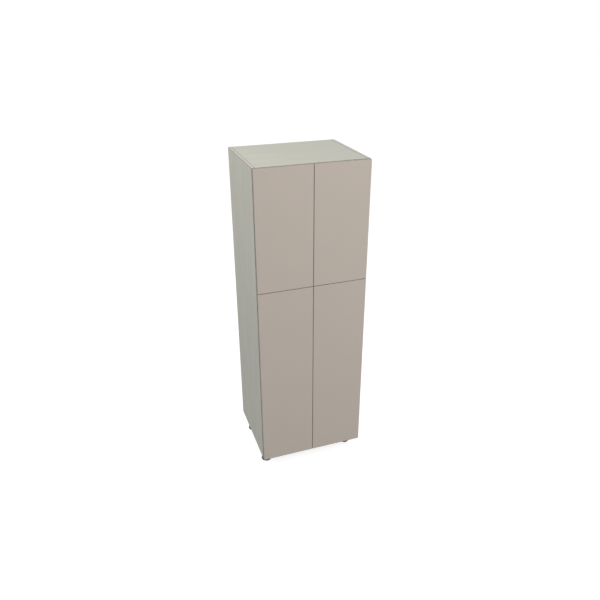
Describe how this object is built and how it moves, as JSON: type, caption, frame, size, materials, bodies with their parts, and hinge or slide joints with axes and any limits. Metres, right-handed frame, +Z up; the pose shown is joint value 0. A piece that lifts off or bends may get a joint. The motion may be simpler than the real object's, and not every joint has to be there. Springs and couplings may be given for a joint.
{
  "type": "tall cupboard unit",
  "caption": "Tall closed cupboard unit: board carcass on screw-adjustable legs, fixed and loose shelves, flat handleless doors on concealed linkage hinges with push latches.",
  "frame": {"origin": "on the floor, under the middle of the unit's width and overall depth", "axes": "+Z up, +X to the right and +Y to the back, seen from in front of the doors"},
  "size_m": [0.7, 0.581, 2.1],
  "materials": {
    "carcass_board": "greenish grey melamine-faced board",
    "door_lacquer": "matt taupe lacquer",
    "back_board": "melamine-faced thin board",
    "beech": "plain beech",
    "plated_steel": "nickel-plated pressed steel",
    "pale_plastic": "moulded plastic",
    "dark_plastic": "moulded dark plastic"
  },
  "bodies": {
    "carcass": {"side_panel_left": "carcass_board", "side_panel_right": "carcass_board", "top_panel": "carcass_board", "bottom_panel": "carcass_board", "middle_shelf": "carcass_board", "back_panel_lower": "back_board", "back_panel_upper": "back_board", "back_joint_strip": "pale_plastic", "shelf_lower": "carcass_board", "shelf_middle": "carcass_board", "shelf_upper": "carcass_board", "shelf_top": "carcass_board", "shelf_pins": "plated_steel", "dowels": "beech", "cam_bolts": "plated_steel", "cam_housings": "plated_steel", "hinge_arms": "plated_steel", "hinge_arm_pins": "plated_steel", "hinge_arm_screws": "plated_steel", "hinge_plates": "plated_steel", "hinge_plate_screws": "plated_steel", "latch_housings": "pale_plastic", "panel_screws": "plated_steel", "leg_sockets": "dark_plastic", "leg_tubes": "dark_plastic", "wall_brackets": "plated_steel"},
    "outer_links_lower_left": {"outer_links_lower_left": "plated_steel"},
    "inner_links_lower_left": {"inner_links_lower_left": "plated_steel"},
    "door_lower_left": {"door_lower_left": "door_lacquer", "hinge_cups_lower_left": "plated_steel", "cup_screws_lower_left": "plated_steel", "strike_plate_lower_left": "plated_steel"},
    "outer_links_lower_right": {"outer_links_lower_right": "plated_steel"},
    "inner_links_lower_right": {"inner_links_lower_right": "plated_steel"},
    "door_lower_right": {"door_lower_right": "door_lacquer", "hinge_cups_lower_right": "plated_steel", "cup_screws_lower_right": "plated_steel", "strike_plate_lower_right": "plated_steel"},
    "outer_links_upper_left": {"outer_links_upper_left": "plated_steel"},
    "inner_links_upper_left": {"inner_links_upper_left": "plated_steel"},
    "door_upper_left": {"door_upper_left": "door_lacquer", "hinge_cups_upper_left": "plated_steel", "cup_screws_upper_left": "plated_steel", "strike_plate_upper_left": "plated_steel"},
    "outer_links_upper_right": {"outer_links_upper_right": "plated_steel"},
    "inner_links_upper_right": {"inner_links_upper_right": "plated_steel"},
    "door_upper_right": {"door_upper_right": "door_lacquer", "hinge_cups_upper_right": "plated_steel", "cup_screws_upper_right": "plated_steel", "strike_plate_upper_right": "plated_steel"},
    "latch_plunger_lower_left": {"latch_plunger_lower_left": "pale_plastic"},
    "latch_plunger_lower_right": {"latch_plunger_lower_right": "pale_plastic"},
    "latch_plunger_upper_left": {"latch_plunger_upper_left": "pale_plastic"},
    "latch_plunger_upper_right": {"latch_plunger_upper_right": "pale_plastic"},
    "foot_front_left": {"foot_front_left": "dark_plastic"},
    "foot_front_right": {"foot_front_right": "dark_plastic"},
    "foot_back_left": {"foot_back_left": "dark_plastic"},
    "foot_back_right": {"foot_back_right": "dark_plastic"}
  },
  "joints": [
    {"name": "outer_link_lower_left", "type": "hinge", "parent": "carcass", "child": "outer_links_lower_left", "pos_m": [-0.314, -0.2575, 0.105], "axis": [0, 0, 1], "range_deg": [0, 24.4]},
    {"name": "inner_link_lower_left", "type": "hinge", "parent": "carcass", "child": "inner_links_lower_left", "pos_m": [-0.3166, -0.2735, 0.105], "axis": [0, 0, 1], "range_deg": [0, 54.6]},
    {"name": "door_swing_lower_left", "type": "hinge", "parent": "outer_links_lower_left", "child": "door_lower_left", "pos_m": [-0.33815, -0.27713, 0.105], "axis": [0, 0, -1], "range_deg": [0, 119.22]},
    {"name": "outer_link_lower_right", "type": "hinge", "parent": "carcass", "child": "outer_links_lower_right", "pos_m": [0.314, -0.2575, 0.105], "axis": [0, 0, -1], "range_deg": [0, 24.4]},
    {"name": "inner_link_lower_right", "type": "hinge", "parent": "carcass", "child": "inner_links_lower_right", "pos_m": [0.3166, -0.2735, 0.105], "axis": [0, 0, -1], "range_deg": [0, 54.6]},
    {"name": "door_swing_lower_right", "type": "hinge", "parent": "outer_links_lower_right", "child": "door_lower_right", "pos_m": [0.33815, -0.27713, 0.105], "axis": [0, 0, 1], "range_deg": [0, 119.22]},
    {"name": "outer_link_upper_left", "type": "hinge", "parent": "carcass", "child": "outer_links_upper_left", "pos_m": [-0.314, -0.2575, 0.105], "axis": [0, 0, 1], "range_deg": [0, 24.4]},
    {"name": "inner_link_upper_left", "type": "hinge", "parent": "carcass", "child": "inner_links_upper_left", "pos_m": [-0.3166, -0.2735, 0.105], "axis": [0, 0, 1], "range_deg": [0, 54.6]},
    {"name": "door_swing_upper_left", "type": "hinge", "parent": "outer_links_upper_left", "child": "door_upper_left", "pos_m": [-0.33815, -0.27713, 0.105], "axis": [0, 0, -1], "range_deg": [0, 119.22]},
    {"name": "outer_link_upper_right", "type": "hinge", "parent": "carcass", "child": "outer_links_upper_right", "pos_m": [0.314, -0.2575, 0.105], "axis": [0, 0, -1], "range_deg": [0, 24.4]},
    {"name": "inner_link_upper_right", "type": "hinge", "parent": "carcass", "child": "inner_links_upper_right", "pos_m": [0.3166, -0.2735, 0.105], "axis": [0, 0, -1], "range_deg": [0, 54.6]},
    {"name": "door_swing_upper_right", "type": "hinge", "parent": "outer_links_upper_right", "child": "door_upper_right", "pos_m": [0.33815, -0.27713, 0.105], "axis": [0, 0, 1], "range_deg": [0, 119.22]},
    {"name": "plunger_press_lower_left", "type": "slide", "parent": "carcass", "child": "latch_plunger_lower_left", "axis": [0, 1, 0], "range_m": [0, 0.002], "stiffness_N_per_m": 400},
    {"name": "plunger_press_lower_right", "type": "slide", "parent": "carcass", "child": "latch_plunger_lower_right", "axis": [0, 1, 0], "range_m": [0, 0.002], "stiffness_N_per_m": 400},
    {"name": "plunger_press_upper_left", "type": "slide", "parent": "carcass", "child": "latch_plunger_upper_left", "axis": [0, 1, 0], "range_m": [0, 0.002], "stiffness_N_per_m": 400},
    {"name": "plunger_press_upper_right", "type": "slide", "parent": "carcass", "child": "latch_plunger_upper_right", "axis": [0, 1, 0], "range_m": [0, 0.002], "stiffness_N_per_m": 400},
    {"name": "foot_height_front_left", "type": "slide", "parent": "carcass", "child": "foot_front_left", "axis": [0, 0, -1], "range_m": [-0.008, 0.02]},
    {"name": "foot_height_front_right", "type": "slide", "parent": "carcass", "child": "foot_front_right", "axis": [0, 0, -1], "range_m": [-0.008, 0.02]},
    {"name": "foot_height_back_left", "type": "slide", "parent": "carcass", "child": "foot_back_left", "axis": [0, 0, -1], "range_m": [-0.008, 0.02]},
    {"name": "foot_height_back_right", "type": "slide", "parent": "carcass", "child": "foot_back_right", "axis": [0, 0, -1], "range_m": [-0.008, 0.02]}
  ],
  "couplings": [
    {"joint": "outer_link_lower_left", "follows": "door_swing_lower_left", "ratio": 0.20319},
    {"joint": "inner_link_lower_left", "follows": "door_swing_lower_left", "ratio": 0.45578},
    {"joint": "outer_link_lower_right", "follows": "door_swing_lower_right", "ratio": 0.20319},
    {"joint": "inner_link_lower_right", "follows": "door_swing_lower_right", "ratio": 0.45578},
    {"joint": "outer_link_upper_left", "follows": "door_swing_upper_left", "ratio": 0.20319},
    {"joint": "inner_link_upper_left", "follows": "door_swing_upper_left", "ratio": 0.45578},
    {"joint": "outer_link_upper_right", "follows": "door_swing_upper_right", "ratio": 0.20319},
    {"joint": "inner_link_upper_right", "follows": "door_swing_upper_right", "ratio": 0.45578}
  ]
}
